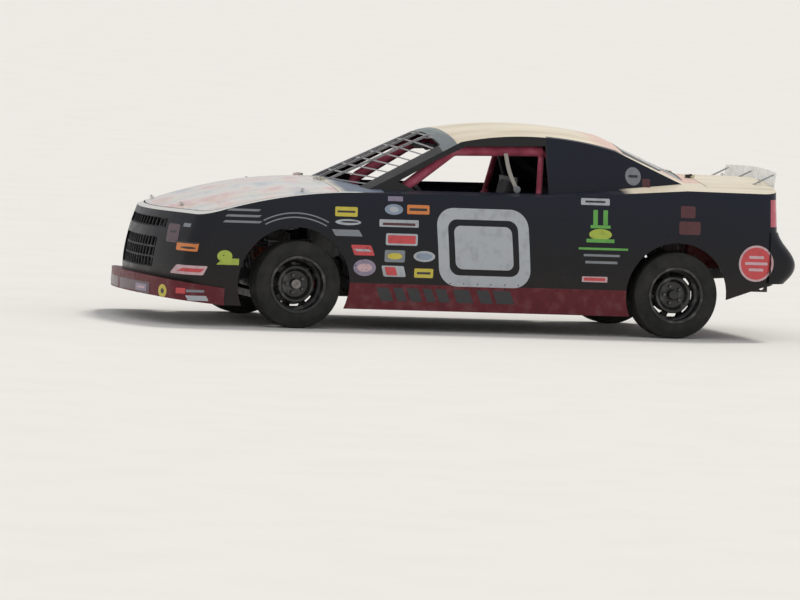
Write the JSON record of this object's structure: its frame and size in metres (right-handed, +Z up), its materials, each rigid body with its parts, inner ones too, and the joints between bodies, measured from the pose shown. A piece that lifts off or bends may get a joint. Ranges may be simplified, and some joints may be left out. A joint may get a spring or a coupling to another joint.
{
  "type": "stock race coupe",
  "caption": "Full-size oval track race coupe with sheet sides, caged cabin, bar windscreen guard, clear rear spoiler and black steel wheels.",
  "frame": {"origin": "on the ground, half way between the nose lip and the tail bumper, on the car's centre plane", "axes": "+X forward, +Y to the car's left, +Z up"},
  "size_m": [4.8356, 1.85, 1.48],
  "materials": {
    "body_black": "gloss black",
    "roof_cream": "gloss cream top, black edges",
    "hood_white": "gloss off-white",
    "cowl_blue": "satin slate blue",
    "trim_red": "satin red",
    "grille_black": "matt black",
    "clear_sheet": "clear plastic sheet",
    "bar_steel": "bare steel",
    "lamp_red": "gloss red",
    "cage_red": "satin red with red pads",
    "frame_black": "satin black",
    "sheet_grey": "satin grey",
    "sheet_black": "matt black",
    "seat_aluminium": "bare sheet",
    "grip_black": "matt black grip",
    "engine_grey": "plain cast block",
    "gear_grey": "cast housing",
    "core_aluminium": "finned core",
    "cell_red": "satin red can",
    "spring_steel": "satin",
    "brake_steel": "machined iron",
    "rim_black": "satin black",
    "tyre_rubber": "worn black rubber"
  },
  "bodies": {
    "chassis": {"nose_fascia": "body_black", "grille": "grille_black", "front_valance": "trim_red", "left_fender": "body_black", "right_fender": "body_black", "left_door_side": "body_black", "right_door_side": "body_black", "left_quarter": "body_black", "right_quarter": "body_black", "rockers": "trim_red", "cowl": "cowl_blue", "roof": "roof_cream", "rear_window": "clear_sheet", "windscreen_guard": "bar_steel", "tail_cover": "body_black", "tail_lamps": "lamp_red", "roll_cage": "cage_red", "frame": "frame_black", "crossmembers": "frame_black", "floor_pan": "sheet_grey", "dash": "sheet_black", "seat": "seat_aluminium", "steering_column": "frame_black", "engine_block": "engine_grey", "driveline": "gear_grey", "radiator": "core_aluminium", "fuel_cell": "cell_red", "rear_axle": "frame_black", "rear_springs": "spring_steel", "front_arms": "frame_black"},
    "hood": {"hood": "hood_white"},
    "deck_lid": {"deck_lid": "roof_cream", "spoiler": "clear_sheet", "spoiler_braces": "bar_steel"},
    "steering_wheel": {"steering_wheel": "grip_black"},
    "left_knuckle": {"left_knuckle": "brake_steel"},
    "right_knuckle": {"right_knuckle": "brake_steel"},
    "front_left_wheel": {"front_left_rim": "rim_black", "front_left_tyre": "tyre_rubber"},
    "front_right_wheel": {"front_right_rim": "rim_black", "front_right_tyre": "tyre_rubber"},
    "rear_left_wheel": {"rear_left_rim": "rim_black", "rear_left_tyre": "tyre_rubber"},
    "rear_right_wheel": {"rear_right_rim": "rim_black", "rear_right_tyre": "tyre_rubber"}
  },
  "joints": [
    {"name": "left_steer", "type": "hinge", "parent": "chassis", "child": "left_knuckle", "pos_m": [1.3275, 0.7, 0.312], "axis": [0, 0, 1], "range_deg": [-25, 25]},
    {"name": "right_steer", "type": "hinge", "parent": "chassis", "child": "right_knuckle", "pos_m": [1.3275, -0.7, 0.312], "axis": [0, 0, 1], "range_deg": [-25, 25]},
    {"name": "steering_wheel_turn", "type": "hinge", "parent": "chassis", "child": "steering_wheel", "pos_m": [0.3175, 0.42, 0.85], "axis": [-0.9162, 0, 0.4008], "range_deg": [-300, 300]},
    {"name": "front_left_spin", "type": "hinge", "parent": "left_knuckle", "child": "front_left_wheel", "pos_m": [1.3275, 0.795, 0.312], "axis": [0, 1, 0], "continuous": true},
    {"name": "front_right_spin", "type": "hinge", "parent": "right_knuckle", "child": "front_right_wheel", "pos_m": [1.3275, -0.795, 0.312], "axis": [0, 1, 0], "continuous": true},
    {"name": "rear_left_spin", "type": "hinge", "parent": "chassis", "child": "rear_left_wheel", "pos_m": [-1.4825, 0.795, 0.312], "axis": [0, 1, 0], "continuous": true},
    {"name": "rear_right_spin", "type": "hinge", "parent": "chassis", "child": "rear_right_wheel", "pos_m": [-1.4825, -0.795, 0.312], "axis": [0, 1, 0], "continuous": true},
    {"name": "hood_lift", "type": "hinge", "parent": "chassis", "child": "hood", "pos_m": [1.0495, 0, 1.052], "axis": [0, -1, 0], "range_deg": [0, 60]},
    {"name": "deck_lift", "type": "hinge", "parent": "chassis", "child": "deck_lid", "pos_m": [-1.7345, 0, 1.158], "axis": [0, 1, 0], "range_deg": [0, 70]}
  ],
  "couplings": [
    {"joint": "right_steer", "follows": "left_steer", "ratio": 1},
    {"joint": "steering_wheel_turn", "follows": "left_steer", "ratio": 12}
  ]
}
